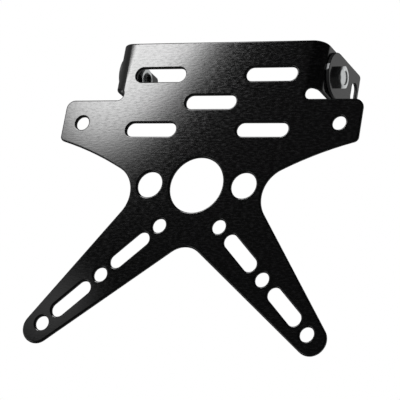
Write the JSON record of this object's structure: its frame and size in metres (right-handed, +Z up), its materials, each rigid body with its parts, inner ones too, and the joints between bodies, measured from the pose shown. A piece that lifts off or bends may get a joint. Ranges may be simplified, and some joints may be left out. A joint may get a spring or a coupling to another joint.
{
  "type": "motorbike tail tidy",
  "caption": "Folded black sheet bracket with wings, slots and tapering legs, which holds a number plate and indicators on two bolted arms of adjustable tilt.",
  "frame": {"origin": "centre of the large hole, on the plate's front face", "axes": "+X to the right seen from the front, +Y to the rear, +Z up"},
  "size_m": [0.1802, 0.0495, 0.177],
  "materials": {
    "black_sheet": "black, brushed, satin",
    "zinc_steel": "bright zinc plating"
  },
  "bodies": {
    "plate": {"main_plate": "black_sheet", "left_pivot_bolt": "zinc_steel", "left_nut": "zinc_steel", "right_pivot_bolt": "zinc_steel", "right_nut": "zinc_steel"},
    "left_arm": {"left_arm": "black_sheet"},
    "right_arm": {"right_arm": "black_sheet"}
  },
  "joints": [
    {"name": "left_arm_pivot", "type": "hinge", "parent": "plate", "child": "left_arm", "pos_m": [-0.0635, 0.0209, 0.0711], "axis": [1, 0, 0], "range_deg": [-90, 90]},
    {"name": "right_arm_pivot", "type": "hinge", "parent": "plate", "child": "right_arm", "pos_m": [0.0635, 0.0209, 0.0711], "axis": [1, 0, 0], "range_deg": [-90, 90]}
  ]
}
